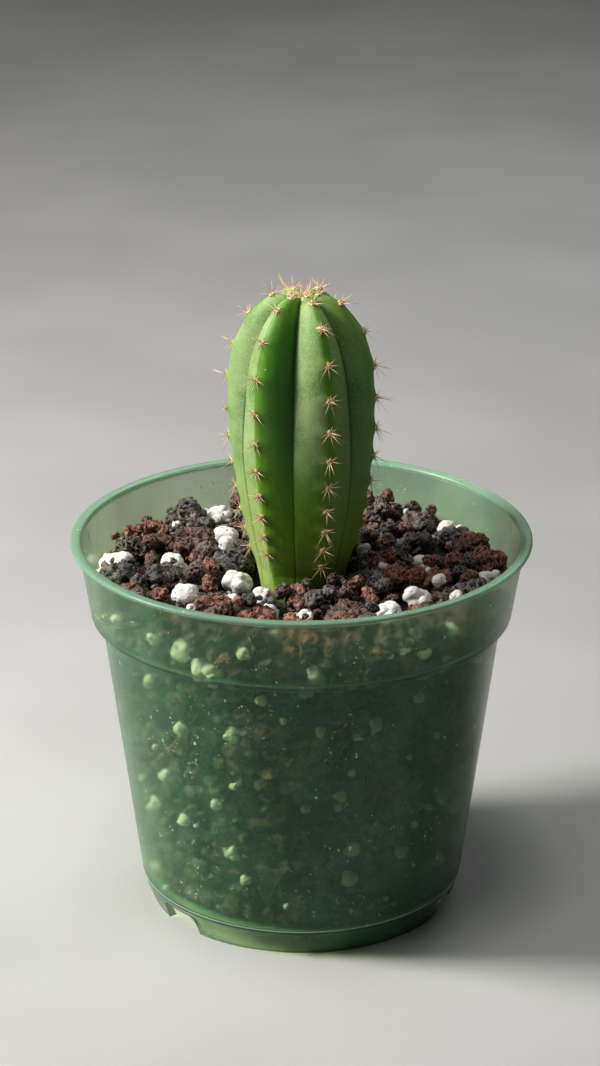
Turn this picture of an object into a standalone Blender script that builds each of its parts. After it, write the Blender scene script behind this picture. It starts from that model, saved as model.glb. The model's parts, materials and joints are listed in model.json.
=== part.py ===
"""Young ribbed column cactus in a plastic nursery pot, with loose stones spread over the potting mix.

Metres, +Z up. The origin is the centre of the circle on which the pot stands. The front is towards -Y.
An azimuth is counted in degrees from the front, and grows towards +X.
"""

import math
import random

import bmesh
import bpy
from mathutils import Matrix, Vector, noise

# Pot: outer radii and heights
RIM_RADIUS = 0.0550
POT_HEIGHT = 0.0930
LIP_REACH = 0.0018  # how far the rim's lip stands out from the collar
LIP_THICKNESS = 0.0012
COLLAR_DEPTH = 0.0191  # from the top of the rim to the step under the collar
COLLAR_DRAW = 0.0027  # how much narrower the collar is at the step than at the rim
STEP_WIDTH = 0.0024
WALL_DRAW = 0.0088  # how much narrower the wall is at the floor than at the step
WALL_THICKNESS = 0.0008
FLOOR_HEIGHT = 0.0058  # underside of the raised floor
FLOOR_THICKNESS = 0.0010
FOOT_DRAW = 0.0028  # how much narrower the foot's sole is than the wall at the floor
FOOT_THICKNESS = 0.0015

# Pot: drain holes through the floor, and the gaps in the foot that let the water out
CENTRE_DRAIN_RADIUS = 0.0040
DRAIN_RADIUS = 0.0030
DRAIN_CIRCLE_RADIUS = 0.0230
DRAIN_COUNT = 6
NOTCH_WIDTH = 0.0120
NOTCH_LINTEL = 0.0006  # left between the top of a notch and the underside of the floor
NOTCH_CORNER = 0.0020
NOTCH_COUNT = 3
NOTCH_AZIMUTH = -50.5

# Potting mix, and the stones spread over it
HEADSPACE = 0.0132  # from the top of the rim down to the packed mix
STONE_TOP_DEPTH = 0.0072  # from the top of the rim down to the general level of the stones
TOUCHING_GAP = 0.0003
STONE_ROWS = (11, 18, 26)  # stones in each ring, from the stem out to the wall
STONE_FILL = 0.93  # a stone's greatest width and length as a share of its place
STONE_SMALLEST = 0.84  # the smallest stone's width and length as a share of the greatest
STONE_LEAST_HEIGHT = 0.60  # a stone's height as a share of its width
STONE_MOST_HEIGHT = 0.78
STONE_ROUGHNESS = 0.34  # how deep a stone's hollows go, as a share of its radius
STONE_MOST_TURN = 12.0  # degrees that a stone lies turned from the line to the stem
STONE_MOST_STRETCH = 1.25  # a stone's greatest length as a share of its place's width
WHITE_SHARE = 0.76  # a white stone's width and length as a share of a lava stone's
WHITE_PLACES = ({9, 10}, {0, 2, 3, 5, 8, 11, 13, 15}, {6, 9, 15, 19})
RED_PLACES = ({0, 3, 6}, {1, 4, 7, 12, 16, 17}, {0, 1, 4, 7, 8, 14, 17, 21, 23})

# Cactus
STEM_HEIGHT = 0.0682  # above the stones
STEM_RADIUS = 0.0175  # at the crest of a rib, where the stem is widest
STEM_FOOT_RADIUS = 0.0113  # at the crest of a rib, where the stem meets the stones
WIDEST_SHARE = 0.60  # height of the widest place, as a share of the height
ROOT_DEPTH = 0.0095  # how far the stem goes down into the packed mix
ROOT_RADIUS = 0.0075
RIB_COUNT = 6
FIRST_RIB_AZIMUTH = 22.0
RIB_ROUNDNESS = 1.6  # 1 gives ribs with a sharp crest, 2 round ones
FLAT_SHARE = 0.75  # height, as a share of the height, up to which the ribs are still partly flat-sided
CREASE_AT_FOOT = 0.885  # radius in a crease as a share of the crest's, where the stem meets the stones
CREASE_LOSS = 0.10  # how much that share falls from the foot to the crown
CROWN_CREASE_START = 0.40  # share of the height above which the creases deepen further
CROWN_CREASE_LOSS = 0.62
CREASE_DROP = 0.0022  # how far the creases lie below the ribs round the crown
CROWN_FULLNESS = 2.6  # 2 gives a round crown, more a fuller and flatter one
CROWN_DIP = 0.0024  # how far the growing point is sunk between the tops of the ribs
CROWN_DIP_REACH = 0.42  # radius of that dip as a share of the stem's radius
TUFT_RADIUS = 0.0022
TUFT_FLATNESS = 0.45
SPINE_LENGTH = 0.0042
SPINE_RADIUS = 0.00022
SPINE_COUNT = 7
SPINE_LEAN = 48.0  # degrees from upright; the last spine stands upright

POT_SEGMENTS = 64
STEM_SEGMENTS = 48
STEM_RINGS = 30
SEED = 7

COLLAR_TOP_RADIUS = RIM_RADIUS - LIP_REACH
COLLAR_FOOT_RADIUS = COLLAR_TOP_RADIUS - COLLAR_DRAW
STEP_Z = POT_HEIGHT - COLLAR_DEPTH
WALL_TOP_RADIUS = COLLAR_FOOT_RADIUS - STEP_WIDTH
WALL_FOOT_RADIUS = WALL_TOP_RADIUS - WALL_DRAW
FLOOR_TOP = FLOOR_HEIGHT + FLOOR_THICKNESS
SOLE_RADIUS = WALL_FOOT_RADIUS - FOOT_DRAW
MIX_TOP = POT_HEIGHT - HEADSPACE
STONE_TOP = POT_HEIGHT - STONE_TOP_DEPTH
STEM_TOP = STONE_TOP + STEM_HEIGHT


def clear_scene():
    for obj in list(bpy.data.objects):
        bpy.data.objects.remove(obj, do_unlink=True)


def new_collection(name):
    collection = bpy.data.collections.new(name)
    bpy.context.scene.collection.children.link(collection)
    return collection


def new_material(name, color, roughness, metallic=0.0):
    material = bpy.data.materials.new(name)
    material.use_nodes = True
    shader = material.node_tree.nodes["Principled BSDF"]
    shader.inputs["Base Color"].default_value = (*color, 1.0)
    shader.inputs["Roughness"].default_value = roughness
    shader.inputs["Metallic"].default_value = metallic
    return material


def new_object(name, mesh, collection, material=None):
    obj = bpy.data.objects.new(name, mesh)
    collection.objects.link(obj)
    if material:
        mesh.materials.append(material)
    return obj


def object_from_bmesh(name, bm, collection, material=None):
    mesh = bpy.data.meshes.new(name)
    bmesh.ops.recalc_face_normals(bm, faces=bm.faces[:])
    bm.to_mesh(mesh)
    bm.free()
    obj = new_object(name, mesh, collection, material)
    mesh.shade_smooth()
    mesh.set_sharp_from_angle(angle=math.radians(40))
    return obj


def turned(name, profile, collection, material, closed):
    """Turns a profile of (radius, height) points, outer side from the top down, about the Z axis."""
    mesh = bpy.data.meshes.new(name)
    edges = [(i, i + 1) for i in range(len(profile) - 1)]
    if closed:
        edges.append((len(profile) - 1, 0))
    mesh.from_pydata([(radius, 0.0, height) for radius, height in profile], edges, [])
    obj = new_object(name, mesh, collection, material)
    screw = obj.modifiers.new("turn", "SCREW")
    screw.steps = POT_SEGMENTS
    screw.render_steps = POT_SEGMENTS
    screw.use_merge_vertices = True
    screw.merge_threshold = 0.00001
    screw.use_smooth_shade = True
    return obj


def arc(centre, radius, start, end, steps):
    """Points on an arc about (radius, height) centre, from one angle to another in degrees."""
    angles = [math.radians(start + (end - start) * i / steps) for i in range(steps + 1)]
    return [(centre[0] + radius * math.cos(a), centre[1] + radius * math.sin(a)) for a in angles]


def around(azimuth, radius, height=0.0):
    """The point at an azimuth in degrees, counted from -Y towards +X."""
    angle = math.radians(azimuth)
    return Vector((radius * math.sin(angle), -radius * math.cos(angle), height))


def wall_inner_radius(height):
    """Inner radius of the pot at a height above its floor."""
    if height >= STEP_Z + WALL_THICKNESS:
        share = (height - STEP_Z) / COLLAR_DEPTH
        return COLLAR_FOOT_RADIUS + COLLAR_DRAW * share - WALL_THICKNESS
    share = (height - FLOOR_HEIGHT) / (STEP_Z - FLOOR_HEIGHT)
    return WALL_FOOT_RADIUS + WALL_DRAW * share - WALL_THICKNESS


def pot_profile():
    """The closed section of the pot: down the outside, under the foot and floor, and up the inside."""
    edge = LIP_THICKNESS / 2
    collar_round = 0.0008
    step_fillet = 0.0004
    sole_round = 0.0008
    lip = arc((RIM_RADIUS - edge, POT_HEIGHT - edge), edge, 90, -90, 4)
    collar = [(COLLAR_TOP_RADIUS, POT_HEIGHT - LIP_THICKNESS - step_fillet)]
    collar += arc((COLLAR_FOOT_RADIUS - collar_round, STEP_Z + collar_round), collar_round, 0, -90, 3)
    wall = [(WALL_TOP_RADIUS + step_fillet, STEP_Z), (WALL_TOP_RADIUS, STEP_Z - step_fillet)]
    wall.append((WALL_FOOT_RADIUS, FLOOR_TOP))
    foot_bend = 0.35  # share of the foot's draw, taken over the upper half of the foot
    foot = [(WALL_FOOT_RADIUS - foot_bend * FOOT_DRAW, 0.5 * FLOOR_TOP)]
    foot += arc((SOLE_RADIUS, sole_round), sole_round, 0, -90, 3)
    foot.append((SOLE_RADIUS - FOOT_THICKNESS, 0.0))
    foot.append((WALL_FOOT_RADIUS - FOOT_THICKNESS, FLOOR_HEIGHT))
    floor = [(CENTRE_DRAIN_RADIUS, FLOOR_HEIGHT), (CENTRE_DRAIN_RADIUS, FLOOR_TOP)]
    floor.append((wall_inner_radius(FLOOR_TOP) - WALL_THICKNESS, FLOOR_TOP))
    floor.append((wall_inner_radius(FLOOR_TOP + WALL_THICKNESS), FLOOR_TOP + WALL_THICKNESS))
    below_step = STEP_Z - step_fillet
    above_step = STEP_Z + WALL_THICKNESS
    inside = [(wall_inner_radius(below_step), below_step)]
    inside.append((WALL_TOP_RADIUS - WALL_THICKNESS / 2, above_step))
    inside.append((COLLAR_FOOT_RADIUS - WALL_THICKNESS - step_fillet, above_step))
    inside.append((wall_inner_radius(above_step + step_fillet), above_step + step_fillet))
    inside.append((COLLAR_TOP_RADIUS - WALL_THICKNESS, POT_HEIGHT - LIP_THICKNESS))
    inside.append((COLLAR_TOP_RADIUS - WALL_THICKNESS / 2, POT_HEIGHT))
    return lip + collar + wall + foot + floor + inside


def cut(obj, cutter, name):
    boolean = obj.modifiers.new(name, "BOOLEAN")
    boolean.operation = "DIFFERENCE"
    boolean.object = cutter


def hide_cutter(cutter):
    cutter.hide_render = True
    cutter.display_type = "WIRE"


def drain_cutter(collection):
    """Upright cylinders, one for each drain hole of the ring."""
    bm = bmesh.new()
    for i in range(DRAIN_COUNT):
        place = around(360 * i / DRAIN_COUNT, DRAIN_CIRCLE_RADIUS, FLOOR_HEIGHT + FLOOR_THICKNESS / 2)
        bmesh.ops.create_cone(
            bm,
            cap_ends=True,
            segments=16,
            radius1=DRAIN_RADIUS,
            radius2=DRAIN_RADIUS,
            depth=4 * FLOOR_THICKNESS,
            matrix=Matrix.Translation(place),
        )
    cutter = object_from_bmesh("drain_cutter", bm, collection)
    hide_cutter(cutter)
    return cutter


def notch_cutter(collection):
    """Blocks across the foot ring with rounded upper corners."""
    clearance = 0.002
    inner = SOLE_RADIUS - FOOT_THICKNESS - clearance
    length = WALL_FOOT_RADIUS + clearance - inner
    height = FLOOR_HEIGHT - NOTCH_LINTEL
    bm = bmesh.new()
    for i in range(NOTCH_COUNT):
        azimuth = NOTCH_AZIMUTH + 360 * i / NOTCH_COUNT
        turn = Matrix.Rotation(math.radians(azimuth), 4, "Z")
        place = Matrix.Translation(around(azimuth, inner + length / 2)) @ turn
        size = Matrix.Diagonal((NOTCH_WIDTH, length, 2 * height, 1.0))
        block = bmesh.ops.create_cube(bm, size=1.0, matrix=place @ size)["verts"]
        top = {v for v in block if v.co.z > 0}
        outward = around(azimuth, 1.0)
        edges = [
            e
            for e in bm.edges
            if set(e.verts) <= top and abs((e.verts[1].co - e.verts[0].co).normalized().dot(outward)) > 0.9
        ]
        bmesh.ops.bevel(
            bm, geom=edges, offset=NOTCH_CORNER, segments=3, profile=0.5, affect="EDGES", material=-1
        )
    cutter = object_from_bmesh("notch_cutter", bm, collection)
    hide_cutter(cutter)
    return cutter


def make_pot(collection, cutters, material):
    pot = turned("nursery_pot", pot_profile(), collection, material, closed=True)
    cut(pot, drain_cutter(cutters), "drain holes")
    cut(pot, notch_cutter(cutters), "foot notches")
    return pot


def stem_radius(height):
    """Crest radius of the stem at a height, from the end of the root up to the widest place."""
    widest = STONE_TOP + WIDEST_SHARE * STEM_HEIGHT
    share = (widest - height) / (widest - STONE_TOP)
    if share <= 1:
        return STEM_RADIUS - (STEM_RADIUS - STEM_FOOT_RADIUS) * share**2
    below = (STONE_TOP - height) / (STONE_TOP - MIX_TOP + ROOT_DEPTH)
    return STEM_FOOT_RADIUS + (ROOT_RADIUS - STEM_FOOT_RADIUS) * min(1.0, below)


def make_mix(collection, material):
    """Fills the pot up to the headspace, with a pocket that the root of the stem sits in."""
    floor = FLOOR_TOP + TOUCHING_GAP
    step = STEP_Z + WALL_THICKNESS + TOUCHING_GAP
    pocket_depth = ROOT_DEPTH + TOUCHING_GAP
    pocket_top = stem_radius(MIX_TOP) + TOUCHING_GAP
    pocket_foot = stem_radius(MIX_TOP - ROOT_DEPTH) + TOUCHING_GAP
    edge = 0.0006
    side = [
        (wall_inner_radius(MIX_TOP) - TOUCHING_GAP - edge, MIX_TOP),
        (wall_inner_radius(MIX_TOP - edge) - TOUCHING_GAP, MIX_TOP - edge),
        (wall_inner_radius(step) - TOUCHING_GAP - edge, step + edge),
        (WALL_TOP_RADIUS - WALL_THICKNESS - TOUCHING_GAP, step + edge),
        (wall_inner_radius(STEP_Z - edge) - 2 * TOUCHING_GAP, STEP_Z - edge),
        (wall_inner_radius(floor + WALL_THICKNESS) - TOUCHING_GAP, floor + WALL_THICKNESS),
        (wall_inner_radius(floor) - WALL_THICKNESS - TOUCHING_GAP, floor),
    ]
    pocket = [(0.0, floor), (0.0, MIX_TOP - pocket_depth), (pocket_foot, MIX_TOP - pocket_depth)]
    pocket.append((pocket_top, MIX_TOP))
    return turned("potting_mix", side + pocket, collection, material, closed=True)


def rib_wave(azimuth, height_share):
    """1 on the crest of a rib, 0 in the crease between two: flat-sided at the foot, round above."""
    pitch = 360 / RIB_COUNT
    off = abs((azimuth - FIRST_RIB_AZIMUTH + pitch / 2) % pitch - pitch / 2) / (pitch / 2)
    half = math.radians(pitch / 2)
    flat = (math.cos(half) / math.cos(half * (1 - off)) - math.cos(half)) / (1 - math.cos(half))
    flatness = max(0.0, min(1.0, 1 - height_share / FLAT_SHARE))
    return flatness * flat + (1 - flatness) * (1 - off**RIB_ROUNDNESS)


def crease_share(height_share):
    """Radius in a crease as a share of the crest's: the creases deepen upwards and fade in the root."""
    if height_share < 0:
        return min(1.0, CREASE_AT_FOOT - height_share)
    deepening = max(0.0, height_share - CROWN_CREASE_START) ** 1.5
    return CREASE_AT_FOOT - CREASE_LOSS * height_share - CROWN_CREASE_LOSS * deepening


def stem_point(azimuth, polar_share):
    """Point of the stem's skin; polar_share runs from 0 at the crown to 1 at the end of the root."""
    dome_end = 0.40
    root_start = 0.93
    widest = STONE_TOP + WIDEST_SHARE * STEM_HEIGHT
    root_end = MIX_TOP - ROOT_DEPTH
    drop = 0.0
    if polar_share < dome_end:
        angle = math.pi / 2 * polar_share / dome_end
        rise = math.cos(angle) ** (2 / CROWN_FULLNESS)
        radius = STEM_RADIUS * math.sin(angle)
        sunk = max(0.0, 1 - math.sin(angle) / CROWN_DIP_REACH) ** 1.5
        height = widest + (STEM_TOP - widest) * rise - CROWN_DIP * sunk
        drop = CREASE_DROP * (1 - sunk) * rise**3
    elif polar_share < root_start:
        share = (polar_share - dome_end) / (root_start - dome_end)
        height = widest + (root_end - widest) * share
        radius = stem_radius(height)
    else:
        share = (polar_share - root_start) / (1 - root_start)
        height = root_end
        radius = ROOT_RADIUS * (1 - share)
    height_share = (height - STONE_TOP) / STEM_HEIGHT
    wave = rib_wave(azimuth, height_share)
    crease = crease_share(height_share)
    return around(azimuth, radius * (crease + (1 - crease) * wave), height - drop * (1 - wave))


def make_stem(collection, material):
    """A ball's rings and meridians, drawn out into the ribbed column and its tapered root."""
    bm = bmesh.new()
    bmesh.ops.create_uvsphere(bm, u_segments=STEM_SEGMENTS, v_segments=STEM_RINGS, radius=1.0)
    turn = FIRST_RIB_AZIMUTH
    for vert in bm.verts:
        polar_share = math.acos(max(-1.0, min(1.0, vert.co.z))) / math.pi
        azimuth = math.degrees(math.atan2(vert.co.x, -vert.co.y)) + turn
        vert.co = stem_point(azimuth, polar_share)
    return object_from_bmesh("cactus_stem", bm, collection, material)


def tuft_seat():
    """Lowest height of the tuft's middle at which it clears the crown all round."""
    seat = 0.0
    rings = 40
    for i in range(rings):
        skin = stem_point(FIRST_RIB_AZIMUTH, 0.1 * i / rings)
        off = math.hypot(skin.x, skin.y)
        if off < TUFT_RADIUS:
            sag = TUFT_FLATNESS * math.sqrt(TUFT_RADIUS**2 - off**2)
            seat = max(seat, skin.z + sag + TOUCHING_GAP)
    return seat


def make_crown_tuft(collection, cutters, material):
    """The cushion of wool on the growing point, with its spines joined into it."""
    bm = bmesh.new()
    bmesh.ops.create_uvsphere(bm, u_segments=12, v_segments=8, radius=TUFT_RADIUS)
    bmesh.ops.scale(bm, vec=(1.0, 1.0, TUFT_FLATNESS), verts=bm.verts[:])
    tuft = object_from_bmesh("crown_spine_tuft", bm, collection, material)
    tuft.location.z = tuft_seat()
    for i in range(SPINE_COUNT):
        azimuth = 360 * i / (SPINE_COUNT - 1)
        lean = 0.0 if i == SPINE_COUNT - 1 else SPINE_LEAN
        spine = bmesh.new()
        bmesh.ops.create_cone(
            spine,
            cap_ends=True,
            segments=6,
            radius1=SPINE_RADIUS,
            radius2=SPINE_RADIUS / 3,
            depth=SPINE_LENGTH,
            matrix=Matrix.Translation((0, 0, SPINE_LENGTH / 2)),
        )
        cutter = object_from_bmesh(f"crown_spine_{i + 1}", spine, cutters)
        cutter.rotation_euler = (math.radians(lean), 0.0, math.radians(azimuth))
        cutter.location = tuft.location
        hide_cutter(cutter)
        union = tuft.modifiers.new(f"spine {i + 1}", "BOOLEAN")
        union.operation = "UNION"
        union.object = cutter
    return tuft


def stone_mesh(width, length, height, rng):
    """A rough lump of exactly this width, length and height that rests on z = 0."""
    bm = bmesh.new()
    bmesh.ops.create_icosphere(bm, subdivisions=2, radius=1.0)
    offset = Vector((rng.uniform(0, 50), rng.uniform(0, 50), rng.uniform(0, 50)))
    for vert in bm.verts:
        vert.co *= 1 - STONE_ROUGHNESS * (0.5 + 0.5 * noise.noise(vert.co * 1.4 + offset))
    for axis, size in enumerate((width, length, height)):
        reach = [vert.co[axis] for vert in bm.verts]
        low, high = min(reach), max(reach)
        middle = low if axis == 2 else (low + high) / 2
        for vert in bm.verts:
            vert.co[axis] = (vert.co[axis] - middle) * size / (high - low)
    return bm


def make_stones(collection, materials):
    """Rings of stones between the stem and the pot's wall, each stone in a place of its own."""
    rng = random.Random(SEED)
    inner = STEM_FOOT_RADIUS
    outer = wall_inner_radius(MIX_TOP) - TOUCHING_GAP
    ring_width = (outer - inner) / len(STONE_ROWS)
    count = dict.fromkeys(materials, 0)
    for row, places in enumerate(STONE_ROWS):
        ring_radius = inner + (row + 0.5) * ring_width
        spacing = 2 * ring_radius * math.sin(math.pi / places)
        for place in range(places):
            if place in WHITE_PLACES[row]:
                kind = "perlite"
            elif place in RED_PLACES[row]:
                kind = "red_lava"
            else:
                kind = "black_lava"
            fill = STONE_FILL * (WHITE_SHARE if kind == "perlite" else 1.0)
            width = spacing * fill * rng.uniform(STONE_SMALLEST, 1.0)
            length = min(ring_width, STONE_MOST_STRETCH * spacing) * fill * rng.uniform(STONE_SMALLEST, 1.0)
            height = width * rng.uniform(STONE_LEAST_HEIGHT, STONE_MOST_HEIGHT)
            count[kind] += 1
            name = f"{kind}_{count[kind]:02d}"
            stone = object_from_bmesh(
                name, stone_mesh(width, length, height, rng), collection, materials[kind]
            )
            azimuth = 360 * place / places
            spare = (ring_width - length) / 4
            stone.location = around(azimuth, ring_radius + rng.uniform(-spare, spare), MIX_TOP + TOUCHING_GAP)
            stone.rotation_euler.z = math.radians(azimuth + rng.uniform(-1, 1) * STONE_MOST_TURN)


def main():
    clear_scene()
    parts = new_collection("potted_tall_cactus")
    cutters = new_collection("cutters")
    green_plastic = new_material("green_plastic", (0.16, 0.42, 0.25), 0.32)
    moist_mix = new_material("moist_mix", (0.045, 0.035, 0.028), 0.90)
    cactus_skin = new_material("cactus_skin", (0.16, 0.36, 0.06), 0.45)
    spine_straw = new_material("spine_straw", (0.62, 0.44, 0.27), 0.60)
    stones = {
        "perlite": new_material("white_perlite", (0.86, 0.85, 0.82), 0.85),
        "red_lava": new_material("red_lava_rock", (0.20, 0.085, 0.055), 0.90),
        "black_lava": new_material("black_lava_rock", (0.035, 0.031, 0.030), 0.85),
    }
    make_pot(parts, cutters, green_plastic)
    make_mix(parts, moist_mix)
    make_stem(parts, cactus_skin)
    make_crown_tuft(parts, cutters, spine_straw)
    make_stones(parts, stones)


main()
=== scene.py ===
"""Looks of the potted tall cactus: a ribbed green column with spine clusters, rooted in lava and perlite grit
that shows, blurred, through the frosted green wall of its nursery pot.

Metres, +Z up. An azimuth is counted in degrees from the front (-Y), and grows towards +X.
"""

import json
import math
import random

import bmesh
import bpy
from mathutils import Matrix, Vector, noise

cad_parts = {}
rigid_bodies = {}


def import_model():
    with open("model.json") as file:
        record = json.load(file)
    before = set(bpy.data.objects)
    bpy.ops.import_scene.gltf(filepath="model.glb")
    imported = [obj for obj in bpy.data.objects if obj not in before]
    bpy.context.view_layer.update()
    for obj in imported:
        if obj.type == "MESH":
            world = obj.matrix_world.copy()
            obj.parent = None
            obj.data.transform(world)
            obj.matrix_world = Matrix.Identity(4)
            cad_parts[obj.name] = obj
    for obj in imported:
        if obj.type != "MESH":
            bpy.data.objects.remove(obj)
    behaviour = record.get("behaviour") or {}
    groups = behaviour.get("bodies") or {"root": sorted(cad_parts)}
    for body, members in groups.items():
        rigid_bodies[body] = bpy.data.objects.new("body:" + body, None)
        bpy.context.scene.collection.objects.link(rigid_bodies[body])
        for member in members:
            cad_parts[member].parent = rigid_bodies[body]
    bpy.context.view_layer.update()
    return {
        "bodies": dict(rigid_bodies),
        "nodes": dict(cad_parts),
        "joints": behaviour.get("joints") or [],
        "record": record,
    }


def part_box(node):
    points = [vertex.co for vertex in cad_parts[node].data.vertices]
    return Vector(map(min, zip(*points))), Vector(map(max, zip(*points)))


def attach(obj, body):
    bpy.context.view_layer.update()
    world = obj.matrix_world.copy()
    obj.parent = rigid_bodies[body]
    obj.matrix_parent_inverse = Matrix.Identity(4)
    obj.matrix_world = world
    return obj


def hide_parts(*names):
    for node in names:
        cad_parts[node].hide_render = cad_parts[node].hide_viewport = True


MM = 0.001

# Pot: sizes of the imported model, outer radii and heights
LIP_REACH = 1.8 * MM
LIP_THICKNESS = 1.2 * MM
COLLAR_DEPTH = 19.1 * MM
COLLAR_DRAW = 2.7 * MM
STEP_WIDTH = 2.4 * MM
WALL_DRAW = 8.8 * MM
WALL_THICKNESS = 0.8 * MM
FLOOR_HEIGHT = 5.8 * MM
FLOOR_THICKNESS = 1.0 * MM
FOOT_DRAW = 2.8 * MM
FOOT_THICKNESS = 1.5 * MM
CENTRE_DRAIN_RADIUS = 4.0 * MM
DRAIN_RADIUS = 3.0 * MM
DRAIN_CIRCLE_RADIUS = 23.0 * MM
DRAIN_COUNT = 6
NOTCH_WIDTH = 12.0 * MM
NOTCH_LINTEL = 0.6 * MM
NOTCH_CORNER = 2.0 * MM
NOTCH_COUNT = 3
NOTCH_AZIMUTH = -50.5
POT_SEGMENTS = 240
SEAM_RIDGE = 0.12 * MM

# Stem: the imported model's driving sizes, with creases that are 0.2 to 0.6 mm shallower
STEM_RADIUS = 17.5 * MM
STEM_FOOT_RADIUS = 11.3 * MM
STEM_HEIGHT = 68.2 * MM
STONE_TOP_DEPTH = 7.2 * MM
WIDEST_SHARE = 0.60
ROOT_RADIUS = 7.5 * MM
RIB_COUNT = 6
FIRST_RIB_AZIMUTH = 22.0
RIB_ROUNDNESS = 1.6
FLAT_SHARE = 0.75
CREASE_AT_FOOT = 0.90
CREASE_LOSS = 0.07
CROWN_CREASE_START = 0.40
CROWN_CREASE_LOSS = 0.62
CREASE_DROP = 2.2 * MM
CROWN_FULLNESS = 2.6
CROWN_DIP = 2.4 * MM
CROWN_DIP_REACH = 0.42

# Stem: what the fine skin adds
STEM_SEGMENTS = 372
STEM_RINGS = 250
CREST_SOFTNESS = 0.07  # share of a rib's half width over which its crest is rounded
GROOVE_DEPTH = 0.09 * MM
GROOVE_WIDTH = 0.55 * MM
SKIN_WANDER = 0.35 * MM
AREOLE_SWELLING = 0.55 * MM
AREOLE_REACH = 1.6 * MM
# Bloom on the two flanks of each rib, in the upper part and at the foot: the skin's waxy bloom, partly
# painted sheen set flank by flank to where the key light falls
UPPER_BLOOM_AND_SHEEN = ((1.0, 0.75), (0.35, 0.6), (0.7, 0.8), (0.6, 0.9), (0.8, 0.9), (0.95, 0.05))
FOOT_BLOOM_AND_SHEEN = ((0.08, 0.45), (0.35, 0.5), (0.5, 0.5), (0.6, 0.6), (1.0, 1.0), (1.0, 0.0))
CREST_BAND = (0.24, 0.15, 0.15, 0.15, 0.10, 0.04)  # share of a flank, from the crest, without bloom

# Areoles: even ribs start lower and lie closer than odd ones, so that neighbours alternate
FIRST_AREOLE = (3.1 * MM, 6.0 * MM)
FIRST_SPACING = 4.7 * MM
SPACING_GROWTH = (0.50 * MM, 0.56 * MM)
LAST_AREOLE_RADIUS = 2.2 * MM
# (turn from straight up in degrees, share of the full length)
RADIAL_SPINES = (
    (0, 0.50), (46, 0.62), (88, 0.80), (132, 1.05),
    (180, 0.95), (228, 1.05), (272, 0.80), (314, 0.62),
)
MISSING_SPINES = 0.08  # share of the radial spines that an areole has lost
SPINE_LENGTH = 4.0 * MM
SPINE_RADIUS = 0.115 * MM
WOOL_WIDTH = 1.9 * MM
WOOL_HAIRS = 34
HAIR_RADII = (0.045 * MM, 0.010 * MM)
CROWN_TUFTS = 6

# Grit: shares are of black lava, red lava and perlite
MEDIUM_GRAINS = 170
MEDIUM_RADII = (1.7 * MM, 3.0 * MM)
MEDIUM_SHARES = (0.50, 0.45, 0.05)
CRUMBS = 240
CRUMB_RADII = (0.6 * MM, 1.5 * MM)
CRUMB_SHARES = (0.55, 0.41, 0.04)
PATTERNS = 8  # rough shapes from which the grains of one heap are copied
NESTING = 0.88  # share of the sum of two radii at which rough grains touch
PERLITE_CLEARANCE = 1.1  # the same share, round a perlite grain that nothing may cover
HEADROOM = 5.0 * MM  # kept free of grains under the rim
CAVITY_PITCH = 1.7  # mm between the larger cavities of lava
FINE_CAVITY_PITCH = 0.85
LOBES = 11  # of a perlite grain
BROAD_LOBES = 5
WALL_GRAIN_PITCH = 4.4 * MM
WALL_LAVA_RADII = (1.5, 3.1)  # in mm, as the next two
WALL_PERLITE_RADII = (0.6, 2.6)
COLLAR_PERLITE_RADII = (1.7, 3.8)
WALL_SHARES = (0.75, 0.14, 0.11)
COLLAR_SHARES = (0.60, 0.18, 0.22)
SEED = 11

# Painted shade for the pits, two bodies, and two crest colours that are partly paler rock and partly painted
# highlight: a grain's tone takes it from the first body and crest to the second
LAVA_COLORS = {
    "black_lava": (
        (0.0035, 0.003, 0.003),
        ((0.020, 0.018, 0.0185), (0.040, 0.026, 0.020)),
        ((0.165, 0.152, 0.148), (0.220, 0.165, 0.138)),
    ),
    "red_lava": (
        (0.010, 0.004, 0.003),
        ((0.110, 0.038, 0.024), (0.044, 0.022, 0.017)),
        ((0.380, 0.175, 0.120), (0.210, 0.125, 0.100)),
    ),
}

# Camera
CAMERA_PLACE = (-0.0004, -0.7310, 0.3816)
CAMERA_DIP = 0.3759  # radians below the level
FOCAL_LENGTH = 111.4


def around(azimuth, radius, height=0.0):
    """The point at an azimuth in degrees, counted from -Y towards +X."""
    angle = math.radians(azimuth)
    return Vector((radius * math.sin(angle), -radius * math.cos(angle), height))


def from_axis(point):
    """The point's direction away from the Z axis."""
    return Vector((point.x, point.y, 0.0))


def smoothstep(low, high, value):
    share = max(0.0, min(1.0, (value - low) / (high - low)))
    return share * share * (3 - 2 * share)


# ---- materials


def operators(operation):
    """A Math operator of a shade and its reflected twin."""

    def plain(shade, other):
        return shade.finish.node("Math", {"operation": operation}, {0: shade, 1: other})

    def reflected(shade, other):
        return shade.finish.node("Math", {"operation": operation}, {0: other, 1: shade})

    return plain, reflected


class Shade:
    """One output socket of a finish, so that sums over a surface read as plain expressions."""

    __add__, __radd__ = operators("ADD")
    __sub__, __rsub__ = operators("SUBTRACT")
    __mul__, __rmul__ = operators("MULTIPLY")

    def __init__(self, finish, socket):
        self.finish = finish
        self.socket = socket

    def rise(self, low, high):
        """0 below low, 1 above high, and smooth between them. With low above high it falls."""
        settings = {"interpolation_type": "SMOOTHSTEP"}
        return self.finish.node("MapRange", settings, {"Value": self, 1: low, 2: high})


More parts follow.
